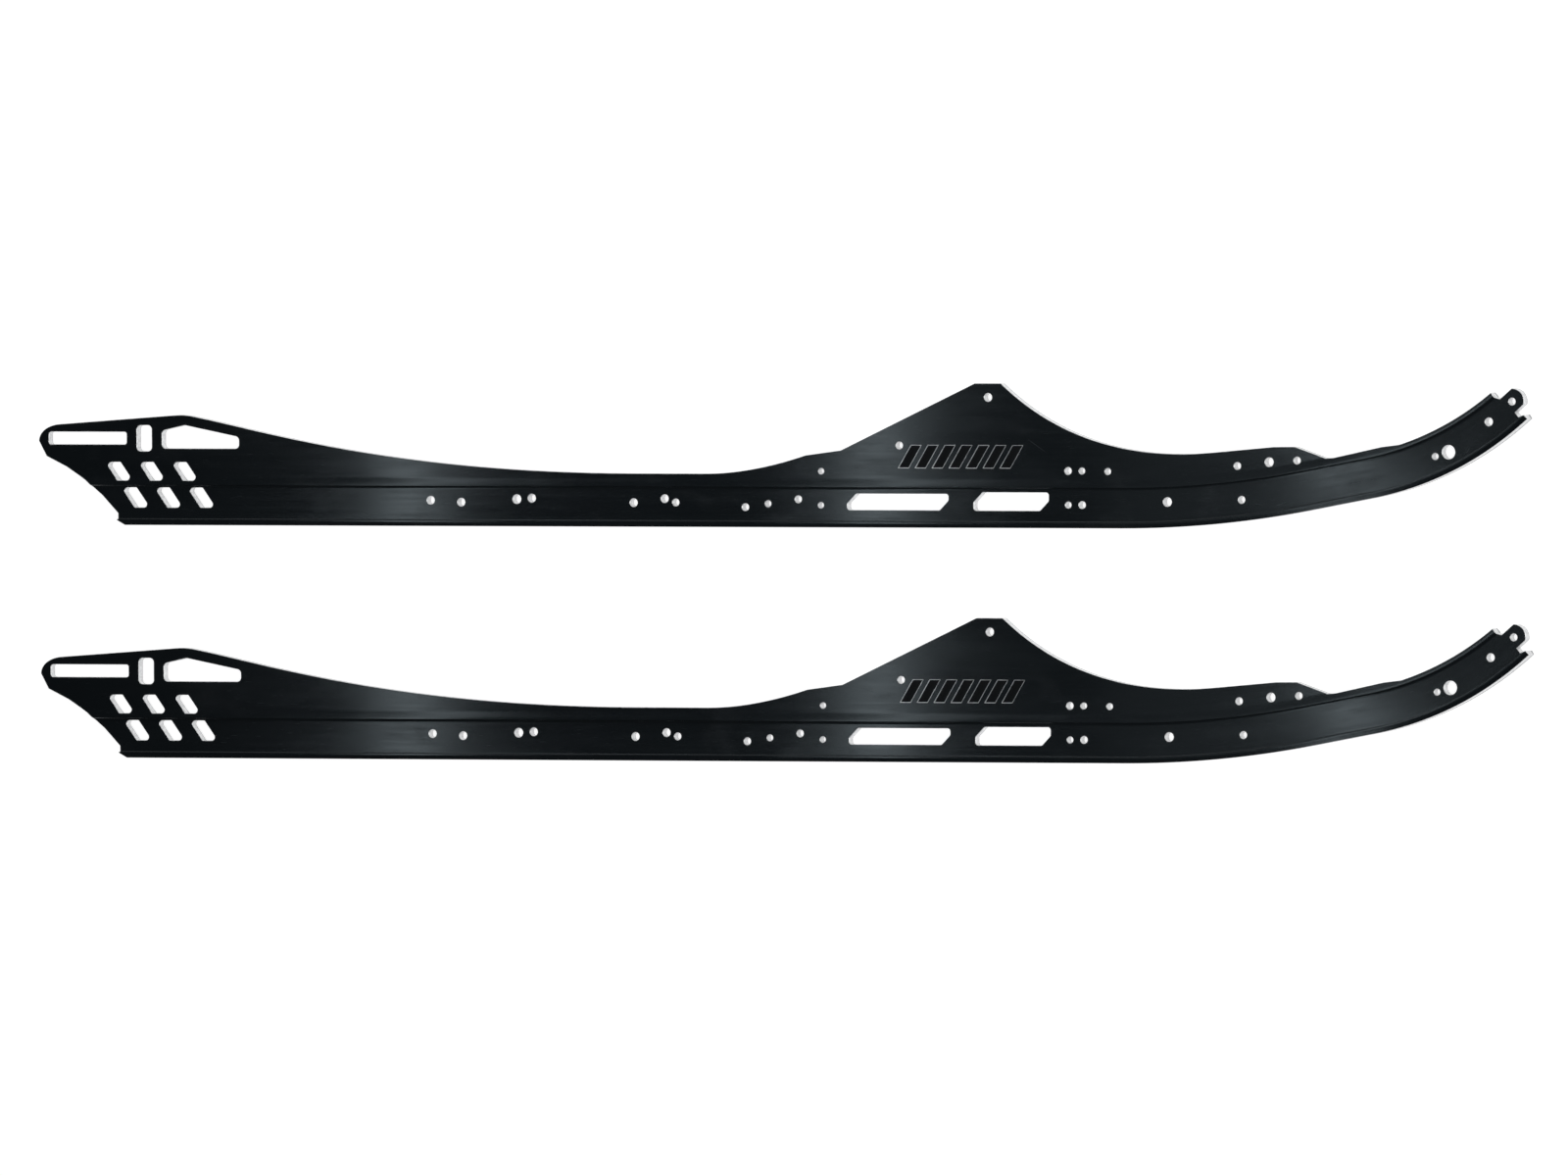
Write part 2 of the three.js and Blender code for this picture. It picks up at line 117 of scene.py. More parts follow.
WINDOWS_PER_ROW = 3
WINDOW_PITCH = 37.5
WINDOW_WIDTH = 17
WINDOW_LEAN = 0.72
WINDOW_CORNER = 3.5
WINDOW_FIRST = 91
UPPER_WINDOW_HEIGHT = 19
UPPER_WINDOW_ABOVE_BEAD = -0.4
LOWER_WINDOW_HEIGHT = 20.6
LOWER_WINDOW_BELOW_BEAD = 2.5

SLOT_WIDTH = 13
SLOT_LENGTH = 88.4
SLOT_START = 11.5
SLOT_CENTRE = 89
SLOT_CORNER = 2.6
ADJUSTER_SLOT_WIDTH = 16.8
ADJUSTER_SLOT_HEIGHT = 26.8
ADJUSTER_SLOT_CORNER = 4.5
SLOT_WALL = 11.8
REAR_WINDOW_LENGTH = 87.4
REAR_WINDOW_BELOW_SLOT = 10.5
REAR_WINDOW_CORNER = 4.5
REAR_WINDOW_DEPTHS = (16.5, 11, 23)

# How far back it starts, its length and height, and the web between it and the bead
LONG_WINDOWS = [(307, 113.5, 16.8, 6.5), (165, 84, 18.7, 4.8)]
LONG_WINDOW_BEVEL = 10
LONG_WINDOW_CORNER = 3

LUG_REACH = 2.3
LUG_HEIGHT = 24.6
LUG_RADIUS = 13.2
LUG_HALF_WIDTH = 10.4
LUG_NOTCH = 7.2
LUG_SHOULDER = 4
RIM_CUT_BACK = 16

DRILL_6 = 6.3
DRILL_7 = 6.8
DRILL_8 = 7.7
DRILL_9 = 8.6
DRILL_10 = 9.5
PIVOT_BORE = 14.4

# Distance ahead of the start of the wide sweep, height above the sole, diameter
HOLES = [
    (-777, 26.4, DRILL_9),
    (-742.5, 24.5, DRILL_9),
    (-679.5, 27.8, DRILL_10),
    (-662.5, 28.8, DRILL_9),
    (-547.5, 24.6, DRILL_9),
    (-512.5, 28.8, DRILL_9),
    (-500, 25, DRILL_8),
    (-421.5, 20.4, DRILL_8),
    (-396, 24, DRILL_7),
    (-362, 28.6, DRILL_8),
    (-336.5, 22.6, DRILL_6),
    (-336, BEAD_TOP + 11.3, DRILL_6),
    (-248, PEAK_HEIGHT - 63.4, DRILL_8),
    (-148, PEAK_HEIGHT - 14.2, DRILL_9),
    (-59, BEAD_TOP + 12.3, DRILL_8),
    (-59, 23.6, DRILL_7),
    (-43.5, BEAD_TOP + 12.3, DRILL_7),
    (-43.5, 23.7, DRILL_8),
    (-14.5, BEAD_TOP + 11.8, DRILL_7),
    (53, 25.9, DRILL_10),
    (137, BEAD_TOP + 10.4, DRILL_8),
    (137.5, 21.7, DRILL_8),
    (174.5, BEAD_TOP + 9.7, DRILL_10),
    (207, BEAD_TOP + 6.4, DRILL_8),
]
# Distance behind the end of the sole, height above the sole, diameter
TIP_HOLES = [
    (111.8, 21.4, DRILL_7),
    (95.6, 19.4, PIVOT_BORE),
    (37.7, 23.8, DRILL_9),
    (LUG_REACH, LUG_HEIGHT, DRILL_8),
]

# ---- Finish of the edges and the engraved motif ----

EDGE_BREAK = 0.28
WORN_WIDTH = 1.6
SHARP_ANGLE = math.radians(30)

# A hatch of plain slanted bars, engraved on the outer face below the peak
MOTIF_COUNT = 7
MOTIF_PITCH = 19
MOTIF_WIDTH = 12.5
MOTIF_HEIGHT = 24
MOTIF_LEAN = 0.62
MOTIF_CORNER = 0.4
MOTIF_START = 972
MOTIF_FOOT = 60.5
MOTIF_SLOPE = 0.2
MOTIF_DEPTH = 0.3
MOTIF_LINE = 0.7

# Marks from handling: distance along, height above the sole, heading, half length, half width
MARKS = [
    (1612, 12.2, math.radians(-28), 4.5, 0.35),
    (1624, 11, math.radians(27), 5, 0.9),
    (1404, 12, math.radians(8), 9, 0.5),
    (1378, 15, math.radians(-12), 6, 0.4),
    (1128, 84, math.radians(-33), 14, 0.5),
]

# Order of the materials on each rail
ANODISED, BARE, ENGRAVED = 0, 1, 2

# ---- Tessellation ----

ARC_STEP = math.radians(7.5)
CURVE_STEPS = 48
SWEEP_STEP = 5
STRAIGHT_STEP = 60
MERGE = 0.0005
PARALLEL = 1e-4
ON_SOLE = 0.01
SECTION_OVERRUN = 30

# ---- The sole line ----

STRETCHES = [
    (SOLE_STRAIGHT, 0),
    (WIDE_SWEEP_RADIUS * WIDE_SWEEP, 1 / WIDE_SWEEP_RADIUS),
    (FRONT_STRAIGHT, 0),
    (TIGHT_SWEEP_RADIUS * TIGHT_SWEEP, 1 / TIGHT_SWEEP_RADIUS),
]
SOLE_END = sum(length for length, _ in STRETCHES)


def stretch_starts():
    """The start of each stretch: distance along, foot, heading, length and curvature."""
    starts = []
    along, foot, heading = 0.0, np.zeros(2), 0.0
    for length, curvature in STRETCHES:
        starts.append((along, foot, heading, length, curvature))
        foot = foot + step_from(heading, length, curvature)
        heading += length * curvature
        along += length
    return starts


def step_from(heading, run, curvature):
    """How far the sole line goes in one run from a heading."""
    if not curvature:
        return run * np.array([math.cos(heading), math.sin(heading)])
    turned = heading + run * curvature
    across = math.sin(turned) - math.sin(heading)
    rise = math.cos(heading) - math.cos(turned)
    return np.array([across, rise]) / curvature


STARTS = stretch_starts()


def on_rail(along, above):
    """The point at a distance along the sole and a height above it."""
    start, foot, heading, _, curvature = [s for s in STARTS if s[0] <= max(along, 0)][-1]
    run = along - start
    foot = foot + step_from(heading, run, curvature)
    heading += run * curvature
    return foot + above * np.array([-math.sin(heading), math.cos(heading)])


def unrolled(points):
    """Distance along the sole and height above it, of points in the rail's plane."""
    along = np.array(points[:, 0])
    above = np.array(points[:, 1])
    for start, foot, heading, _, curvature in STARTS[1:]:
        ahead = np.array([math.cos(heading), math.sin(heading)])
        up = np.array([-math.sin(heading), math.cos(heading)])
        local = points - foot
        x, y = local @ ahead, local @ up
        on = x > 0
        if curvature:
            radius = 1 / curvature
            angle = np.arctan2(x, radius - y)
            along[on] = (start + angle * radius)[on]
            above[on] = (radius - np.hypot(x, radius - y))[on]
        else:
            along[on] = (start + x)[on]
            above[on] = y[on]
    return along, above


def sweep_places(start, end):
    """Places along the sole from one to another, close together on the sweeps."""
    places = [start, end]
    for at, _, _, length, curvature in STARTS:
        step = SWEEP_STEP if curvature else STRAIGHT_STEP
        count = max(1, round(length / step))
        places += [at + length * i / count for i in range(count + 1)]
    return sorted({round(p, 6) for p in places if start <= p <= end})


# ---- Outlines ----


class Outline:
    """A closed outline in the rail's plane, drawn point by point."""

    def __init__(self):
        self.points = []

    def to(self, along, above):
        self.points.append(on_rail(along, above))

    def follow_sole(self, start, end, above):
        places = sweep_places(min(start, end), max(start, end))
        for place in places if start < end else reversed(places):
            self.to(place, above)

    def arc(self, centre, radius, start, end):
        count = max(2, math.ceil(abs(end - start) / ARC_STEP))
        for angle in np.linspace(start, end, count + 1):
            self.points.append(centre + radius * np.array([math.cos(angle), math.sin(angle)]))

    def bulge_to(self, end, rise):
        """An arc whose middle stands `rise` to the left of the chord."""
        start = self.points[-1]
        half = (end - start) / 2
        left = np.array([-half[1], half[0]]) / np.hypot(*half)
        radius = (half @ half + rise * rise) / (2 * rise)
        centre = start + half + left * (rise - radius)
        turn = 2 * math.asin(np.hypot(*half) / radius)
        first = math.atan2(*(start - centre)[::-1])
        self.arc(centre, radius, first, first - turn)

    def curve_to(self, end, handles):
        """A cubic curve whose two handles are shares of its run and rise."""
        start = self.points[-1]
        span = end - start
        first = start + span * handles[0]
        last = end - span * handles[1]
        for t in np.linspace(0, 1, CURVE_STEPS + 1)[1:]:
            u = 1 - t
            point = u**3 * start + 3 * u * u * t * first + 3 * u * t * t * last + t**3 * end
            self.points.append(point)

    def round_to(self, control, end):
        """A quadratic curve."""
        start = self.points[-1]
        for t in np.linspace(0, 1, CURVE_STEPS // 4 + 1)[1:]:
            self.points.append((1 - t) ** 2 * start + 2 * t * (1 - t) * control + t * t * end)

    def loop(self):
        """The points, each different from the one before."""
        kept = []
        for point in self.points:
            if not kept or np.hypot(*(point - kept[-1])) > 10 * MERGE:
                kept.append(point)
        if np.hypot(*(kept[0] - kept[-1])) <= 10 * MERGE:
            kept.pop()
        return np.array(kept)


def rail_outline():
    """Anticlockwise, starting along the sole."""
    line = Outline()
    line.follow_sole(SOLE_START + SOLE_END_CHAMFER, SOLE_END, 0)
    draw_front_end(line)
    draw_front_edge(line)
    draw_peak(line)
    draw_rear(line)
    line.to(SOLE_START, FLANGE_THICKNESS)
    return line.loop()


def draw_front_end(line):
    hole = on_rail(SOLE_END - LUG_REACH, LUG_HEIGHT)
    ahead = on_rail(SOLE_END - LUG_REACH, 0) - on_rail(SOLE_END - LUG_REACH - 1, 0)
    heading = math.atan2(ahead[1], ahead[0])
    spread = math.asin(LUG_HALF_WIDTH / LUG_RADIUS)
    root = SOLE_END - LUG_NOTCH
    line.to(SOLE_END, FLANGE_THICKNESS)
    line.to(root, FLANGE_THICKNESS + FLANGE_FILLET)
    line.to(root, LUG_HEIGHT - LUG_HALF_WIDTH)
    line.arc(hole, LUG_RADIUS, heading - spread, heading + spread)
    line.to(SOLE_END - RIM_CUT_BACK + LUG_SHOULDER, LUG_HEIGHT + LUG_HALF_WIDTH)
    line.to(SOLE_END - RIM_CUT_BACK, BEAD_HEIGHT - BEAD_ROOT_FILLET)
    line.to(SOLE_END - RIM_CUT_BACK, BEAD_TOP)


def draw_front_edge(line):
    line.follow_sole(SOLE_END - RIM_CUT_BACK, SOLE_STRAIGHT + FRONT_EDGE[0][0], BEAD_TOP)
    for ahead, above_bead in FRONT_EDGE[1:]:
        line.to(SOLE_STRAIGHT + ahead, BEAD_TOP + above_bead)


def draw_peak(line):
    peak_start = SOLE_STRAIGHT - PEAK_BACK
    line.curve_to(on_rail(peak_start + PEAK_LENGTH, PEAK_HEIGHT), PEAK_FRONT_CURVE)
    line.to(peak_start, PEAK_HEIGHT)
    line.to(SOLE_STRAIGHT - FLANK_BACK, SHOULDER_HEIGHT + FLANK_RISE)
    line.to(SOLE_STRAIGHT - SHOULDER_BACK, SHOULDER_HEIGHT)
    waist_start = SOLE_STRAIGHT - WAIST_BACK
    line.curve_to(on_rail(waist_start + WAIST_LENGTH, WAIST_HEIGHT), SHOULDER_CURVE)
    line.to(waist_start, WAIST_HEIGHT)


def draw_rear(line):
    crest_start = on_rail(HUMP_START + HUMP_ROUND[0], HUMP_HEIGHT - HUMP_ROUND[1])
    crest_end = on_rail(HUMP_START - HUMP_CREST[0], HUMP_HEIGHT - HUMP_CREST[1])
    line.curve_to(crest_start, HUMP_FRONT_CURVE)
    line.round_to(on_rail(HUMP_START, HUMP_HEIGHT), crest_end)
    line.to(NOSE_LENGTH, NOSE_TOP_HEIGHT)
    line.curve_to(on_rail(0, NOSE_HEIGHT), NOSE_CURVE)
    line.to(REAR_CUT[0], NOSE_HEIGHT - REAR_CUT[1])
    line.bulge_to(on_rail(SOLE_START, REAR_HOLLOW_FOOT), REAR_HOLLOW_DEPTH)


def rounded(corners):
    """A loop with straight sides and rounded corners, from (along, above, radius)."""
    points = [on_rail(along, above) for along, above, _ in corners]
    line = Outline()
    for i, (_, _, radius) in enumerate(corners):
        point = points[i]
        before = points[i - 1] - point
        after = points[(i + 1) % len(points)] - point
        before /= np.hypot(*before)
        after /= np.hypot(*after)
        half_angle = math.acos(np.clip(before @ after, -1, 1)) / 2
        middle = (before + after) / np.hypot(*(before + after))
        centre = point + middle * radius / math.sin(half_angle)
        first = point + before * radius / math.tan(half_angle) - centre
        turn = math.pi - 2 * half_angle
        if before[0] * after[1] - before[1] * after[0] > 0:
            turn = -turn
        angle = math.atan2(first[1], first[0])
        line.arc(centre, radius, angle, angle + turn)
    return line.loop()


def square_window(start, length, centre, height, radius):
    end = start + length
    low, high = centre - height / 2, centre + height / 2
    corners = [(start, low), (end, low), (end, high), (start, high)]
    return rounded([(along, above, radius) for along, above in corners])


def leaning_window(middle, centre, height):
    half = height / 2
    lean = WINDOW_LEAN * half
    side = WINDOW_WIDTH / 2
    return rounded([
        (middle - side + lean, centre - half, WINDOW_CORNER / 2),
        (middle + side + lean, centre - half, WINDOW_CORNER),
        (middle + side - lean, centre + half, WINDOW_CORNER / 2),
        (middle - side - lean, centre + half, WINDOW_CORNER),
    ])


def long_window(back, length, height, below_bead):
    start = SOLE_STRAIGHT - back
    end = start + length
    high = BEAD_HEIGHT - below_bead
    low = high - height
    radius = LONG_WINDOW_CORNER
    return rounded([
        (start, low, radius),
        (end - LONG_WINDOW_BEVEL, low, radius),
        (end, low + LONG_WINDOW_BEVEL, radius),
        (end, high, radius),
        (start + LONG_WINDOW_BEVEL, high, radius),
        (start, high - LONG_WINDOW_BEVEL, radius),
    ])


def rear_window():
    start = SLOT_START + SLOT_LENGTH + 2 * SLOT_WALL + ADJUSTER_SLOT_WIDTH
    end = start + REAR_WINDOW_LENGTH
    low = SLOT_CENTRE - REAR_WINDOW_BELOW_SLOT
    radius = REAR_WINDOW_CORNER
    rear_depth, crest_depth, front_depth = REAR_WINDOW_DEPTHS
    return rounded([
        (start, low, radius),
        (end, low, radius),
        (end, HUMP_HEIGHT - front_depth, radius),
        (HUMP_START, HUMP_HEIGHT - crest_depth, radius),
        (start, HUMP_HEIGHT - rear_depth, radius),
    ])


def window_loops():
    adjuster = SLOT_START + SLOT_LENGTH + SLOT_WALL
    loops = [
        square_window(SLOT_START, SLOT_LENGTH, SLOT_CENTRE, SLOT_WIDTH, SLOT_CORNER),
        square_window(
            adjuster, ADJUSTER_SLOT_WIDTH, SLOT_CENTRE, ADJUSTER_SLOT_HEIGHT, ADJUSTER_SLOT_CORNER,
        ),
        rear_window(),
    ]
    loops += [long_window(*window) for window in LONG_WINDOWS]
    upper = BEAD_TOP + UPPER_WINDOW_ABOVE_BEAD + UPPER_WINDOW_HEIGHT / 2
    lower = BEAD_HEIGHT - LOWER_WINDOW_BELOW_BEAD - LOWER_WINDOW_HEIGHT / 2
    for i in range(WINDOWS_PER_ROW):
        middle = WINDOW_FIRST + i * WINDOW_PITCH
        loops.append(leaning_window(middle, upper, UPPER_WINDOW_HEIGHT))
        loops.append(leaning_window(middle + WINDOW_PITCH / 2, lower, LOWER_WINDOW_HEIGHT))
    return loops


def hole_loops():
    places = [(SOLE_STRAIGHT + ahead, above, size) for ahead, above, size in HOLES]
    places += [(SOLE_END - back, above, size) for back, above, size in TIP_HOLES]
    loops = []
    for along, above, size in places:
        line = Outline()
        line.arc(on_rail(along, above), size / 2, 0, 2 * math.pi)
        loops.append(line.loop())
    return loops


def motif_loops():
    loops = []
    for i in range(MOTIF_COUNT):
        left = MOTIF_START + i * MOTIF_PITCH
        shift = MOTIF_LEAN * MOTIF_HEIGHT
        high = MOTIF_FOOT + MOTIF_HEIGHT
        loops.append(rounded([
            (left, MOTIF_FOOT, MOTIF_CORNER),
            (left + MOTIF_WIDTH, MOTIF_FOOT, MOTIF_CORNER),
            (left + MOTIF_WIDTH + shift, high, MOTIF_CORNER),
            (left + shift, high, MOTIF_CORNER),
        ]))
    return loops


def offset(loop, distances):
    """The loop moved to its left by each edge's own distance."""
    after = np.roll(loop, -1, axis=0) - loop
    length = np.hypot(after[:, 0], after[:, 1])[:, None]
    left = np.stack([-after[:, 1], after[:, 0]], axis=1) / length
    before = np.roll(left, 1, axis=0)
    moved = []
    for point, a, b, da, db in zip(loop, before, left, np.roll(distances, 1), distances):
        cross = a[0] * b[1] - a[1] * b[0]
        if abs(cross) < PARALLEL:
            moved.append(point + b * db)
        else:
            moved.append(point + np.array([da * b[1] - db * a[1], db * a[0] - da * b[0]]) / cross)
    return np.array(moved)


# ---- The section ----


def concave(centre, radius, tilts, side):
    """Points of a concave fillet on the web: `side` is -1 below the web's face and 1 above it."""
    points = []
    for tilt in tilts:
        a = math.radians(tilt)
        height = centre + side * radius * math.sin(a)
        points.append((height, WEB_HALF + radius * (1 - math.cos(a))))
    return points


def section_profile():
    """Heights above the sole and half thicknesses there, from the sole to above the peak."""
    flange = [
        (-1, 5.75), (0, 6.2), (3.3, 7.68), (3.6, 7.82), (3.85, 7.92), (4.2, 7.98),
        (4.7, FLANGE_HALF), (5.3, 7.98), (5.75, 7.91), (5.93, 7.7), (6, 7.4),
    ]
    flange_root = concave(7.1, 1, (80, 62, 48, 36, 24, 12, 0), -1)
    bead_root = concave(37.8, 3.6, (0, 4, 9, 14, 20, 26, 33, 40, 47, 54, 60), 1)
    bead = [
        (41.05, 6.66), (41.2, 6.73), (41.45, 6.75), (42, 6.7), (43, 6.52), (44, 6.3), (45, 6.05),
        (46, 5.79), (47, 5.52), (48, 5.25), (49, 4.99), (49.8, 4.83), (50.8, WEB_HALF),
    ]
    above_peak = [(PEAK_HEIGHT + 5, WEB_HALF)]
    return np.array(flange + flange_root + bead_root + bead + above_peak)


PROFILE = section_profile()


# ---- The mesh ----


def edges_of(loops):
    """All edges of closed loops, as an array of start and end points."""
    return np.concatenate([np.stack([loop, np.roll(loop, -1, axis=0)], axis=1) for loop in loops])


def inside(points, edges):
    """Whether each point has an odd number of edges to its right."""
    result = np.zeros(len(points), bool)
    (x1, y1), (x2, y2) = edges[:, 0].T, edges[:, 1].T
    for first in range(0, len(points), 2000):
        x, y = points[first:first + 2000].T[:, :, None]
        spans = (y1 > y) != (y2 > y)
        with np.errstate(divide="ignore", invalid="ignore"):
            crossing = x1 + (y - y1) * (x2 - x1) / (y2 - y1)
        result[first:first + 2000] = (spans & (x < crossing)).sum(axis=1) % 2
    return result


def distance_to(points, edges):
    """Distance from each point to the nearest edge."""
    result = np.zeros(len(points))
    start = edges[:, 0]
    along = edges[:, 1] - start
    length_squared = (along**2).sum(axis=1)
    for first in range(0, len(points), 1000):
        local = points[first:first + 1000, None, :] - start
        share = np.clip((local * along).sum(axis=2) / length_squared, 0, 1)
        away = local - share[:, :, None] * along
        result[first:first + 1000] = np.sqrt((away**2).sum(axis=2).min(axis=1))
    return result


def triangulate(loops, lines):
    """Triangles over all loops and open lines, as points and index triples."""
    points, edges = [], []
    for closed, group in ((True, loops), (False, lines)):
        for chain in group:
            first = len(points)
            points += [Vector(p) for p in chain]
            edges += [(i, i + 1) for i in range(first, len(points) - 1)]
            if closed:
                edges.append((len(points) - 1, first))
    verts, _, faces, *_ = delaunay_2d_cdt(points, edges, [], 0, MERGE, False)
    return np.array([tuple(v) for v in verts], float), np.array([tuple(f) for f in faces], int)


def rail_sheet():
    """The shared triangulation of both faces, and what lies where on it."""
    outline = rail_outline()
    cuts = window_loops() + hole_loops()
    motif = motif_loops()
    _, heights = unrolled(outline)
    low = np.abs(heights) < ON_SOLE
    on_sole = low & np.roll(low, -1)
    inner = [offset(outline, np.where(on_sole, 0, EDGE_BREAK))]
    inner += [offset(loop, np.full(len(loop), -EDGE_BREAK)) for loop in cuts]
    worn = [offset(outline, np.where(on_sole, 0, WORN_WIDTH))]
    worn += [offset(loop, np.full(len(loop), -WORN_WIDTH)) for loop in cuts]
    motif_slope = [offset(loop, np.full(len(loop), MOTIF_SLOPE)) for loop in motif]
    motif_line = [offset(loop, np.full(len(loop), MOTIF_LINE)) for loop in motif]
    places = sweep_places(0, SOLE_END) + [SOLE_END + SECTION_OVERRUN]
    lines = [np.array([on_rail(s, n) for s in places]) for n, _ in PROFILE[2:-1]]
    loops = [outline, *cuts, *inner, *worn, *motif, *motif_slope, *motif_line]
    points, faces = triangulate(loops, lines)
    centres = points[faces].mean(axis=1)
    material = inside(centres, edges_of([outline, *cuts]))
    faces, centres = faces[material], centres[material]
    used, faces = np.unique(faces, return_inverse=True)
    points, faces = points[used], faces.reshape(-1, 3)
    outline_edges = edges_of([outline])[~on_sole]
    cut_edges = np.concatenate([outline_edges, edges_of(cuts)])
    along, above = unrolled(points)
    return {
        "points": points,
        "faces": faces,
        "along": along,
        "above": above,
        "to_edge": distance_to(points, cut_edges),
        "broken": distance_to(centres, cut_edges) < EDGE_BREAK * 0.98,
        "in_motif": inside(centres, edges_of(motif)),
        "in_line": ~inside(centres, edges_of(motif_line)),
        "motif_depth": motif_depth(points, motif),
    }


def motif_depth(points, motif):
    """How deep the engraving is at each point: 0 outside the bars, with sloping sides within."""
    edges = edges_of(motif)
    depth = np.zeros(len(points))
    length = MOTIF_COUNT * MOTIF_PITCH
    spot = np.flatnonzero(np.abs(points[:, 0] - MOTIF_START - length / 2) < length)
    within = inside(points[spot], edges)
    reach = distance_to(points[spot], edges)
    depth[spot] = np.where(within, np.minimum(reach / MOTIF_SLOPE, 1) * MOTIF_DEPTH, 0)
    return depth


def rail_mesh(number, sheet):
    """Front and back sheets joined by walls along every open edge, in metres."""
    points, faces = sheet["points"], sheet["faces"]
    thickness = np.interp(sheet["above"], PROFILE[:, 0], PROFILE[:, 1])
    thickness = thickness - np.maximum(0, EDGE_BREAK - sheet["to_edge"])
    front = np.column_stack([points, thickness - sheet["motif_depth"]])
    back = np.column_stack([points, -thickness])
    count = len(points)
    walls = wall_faces(faces, count)
    quads = [tuple(int(i) for i in quad) for quad in walls]
    sheets = np.concatenate([faces, faces[:, ::-1] + count])
    triangles = [tuple(int(i) for i in face) for face in sheets]
    mesh = bpy.data.meshes.new(f"slide_rail_{number}")
    mesh.from_pydata((np.concatenate([front, back]) * MM).tolist(), [], triangles + quads)
    plain = np.where(sheet["broken"], BARE, ANODISED)
    marked = np.where(sheet["in_line"], BARE, ENGRAVED)
    indices = np.concatenate([
        np.where(sheet["in_motif"], marked, plain), plain, np.full(len(walls), BARE),
    ])
    mesh.polygons.foreach_set("material_index", indices.astype(np.int32))
    z = np.concatenate([front[:, 2], back[:, 2]])
    rows = np.column_stack([np.tile(sheet["along"], 2), np.tile(sheet["above"], 2), z]) * MM
    for attribute, shift in (("rail_place", 0), ("noise_place", number)):
        place = mesh.attributes.new(attribute, "FLOAT_VECTOR", "POINT")
        place.data.foreach_set("vector", (rows + (0, 0, shift)).astype(np.float32).ravel())
    edge = mesh.attributes.new("edge_distance", "FLOAT", "POINT")
    edge.data.foreach_set("value", np.tile(sheet["to_edge"] * MM, 2).astype(np.float32))
    mesh.shade_smooth()
    mesh.set_sharp_from_angle(angle=SHARP_ANGLE)
    mesh.validate()
    return mesh


def wall_faces(faces, count):
    """A quad from front to back along each edge that only one triangle has."""
    pairs = np.concatenate([faces[:, [0, 1]], faces[:, [1, 2]], faces[:, [2, 0]]])
    keys = np.sort(pairs, axis=1)
    _, first, times = np.unique(keys, axis=0, return_index=True, return_counts=True)
    a, b = pairs[first[times == 1]].T
    return np.column_stack([b, a, a + count, b + count])


# ---- Materials ----


def new_material(name):
    material = bpy.data.materials.new(name)
    material.use_nodes = True
    nodes = material.node_tree.nodes
    return material, nodes, material.node_tree.links, nodes["Principled BSDF"]


def rail_place(nodes, attribute="rail_place"):
    """Where a point lies on the unrolled rail: along, above and out from the middle.

    "noise_place" is the same with the rail's number added to the last, so noise differs by rail.
    """
    place = nodes.new("ShaderNodeAttribute")
    place.attribute_name = attribute
    return place.outputs["Vector"]


def stretched_noise(nodes, links, scale, detail=2.0, roughness=0.5, turn=0.0):
    """Noise over the unrolled rail, scaled along, across and through it, different on each rail."""
    mapping = nodes.new("ShaderNodeMapping")
    mapping.inputs["Rotation"].default_value = (0, 0, turn)
    mapping.inputs["Scale"].default_value = scale
    noise = nodes.new("ShaderNodeTexNoise")
    noise.inputs["Scale"].default_value = 1
    noise.inputs["Detail"].default_value = detail
    noise.inputs["Roughness"].default_value = roughness
    links.new(rail_place(nodes, "noise_place"), mapping.inputs["Vector"])
    links.new(mapping.outputs["Vector"], noise.inputs["Vector"])
    return noise.outputs["Fac"]


def remap(nodes, links, value, low, high, to_low, to_high):
    node = nodes.new("ShaderNodeMapRange")
    node.inputs["From Min"].default_value = low
    node.inputs["From Max"].default_value = high
    node.inputs["To Min"].default_value = to_low
    node.inputs["To Max"].default_value = to_high
    links.new(value, node.inputs["Value"])
    return node.outputs["Result"]


def combine(nodes, links, operation, a, b):
    node = nodes.new("ShaderNodeMath")
    node.operation = operation
    for socket, value in zip(node.inputs, (a, b)):
        if isinstance(value, (int, float)):
            socket.default_value = value
        else:
            links.new(value, socket)
    return node.outputs[0]


def colour_between(nodes, links, value, dark, light):
    mix = nodes.new("ShaderNodeMix")
    mix.data_type = "RGBA"
    for socket, colour in ((mix.inputs["A"], dark), (mix.inputs["B"], light)):
        if isinstance(colour, tuple):
            socket.default_value = (*colour, 1)
        else:
            links.new(colour, socket)
    links.new(value, mix.inputs["Factor"])
    return mix.outputs["Result"]


def bump(nodes, links, height, distance, strength, under=None):
    node = nodes.new("ShaderNodeBump")
    if under is not None:
        links.new(under, node.inputs["Normal"])
    node.inputs["Distance"].default_value = distance
    node.inputs["Strength"].default_value = strength
    links.new(height, node.inputs["Height"])
    return node.outputs["Normal"]


def stretched_patches(nodes, links, scale, low, high, detail=2.0, roughness=0.5, turn=0.0):
    """Stretched noise between two levels, as 0 to 1."""
    noise = stretched_noise(nodes, links, scale, detail, roughness, turn)
    return remap(nodes, links, noise, low, high, 0, 1)


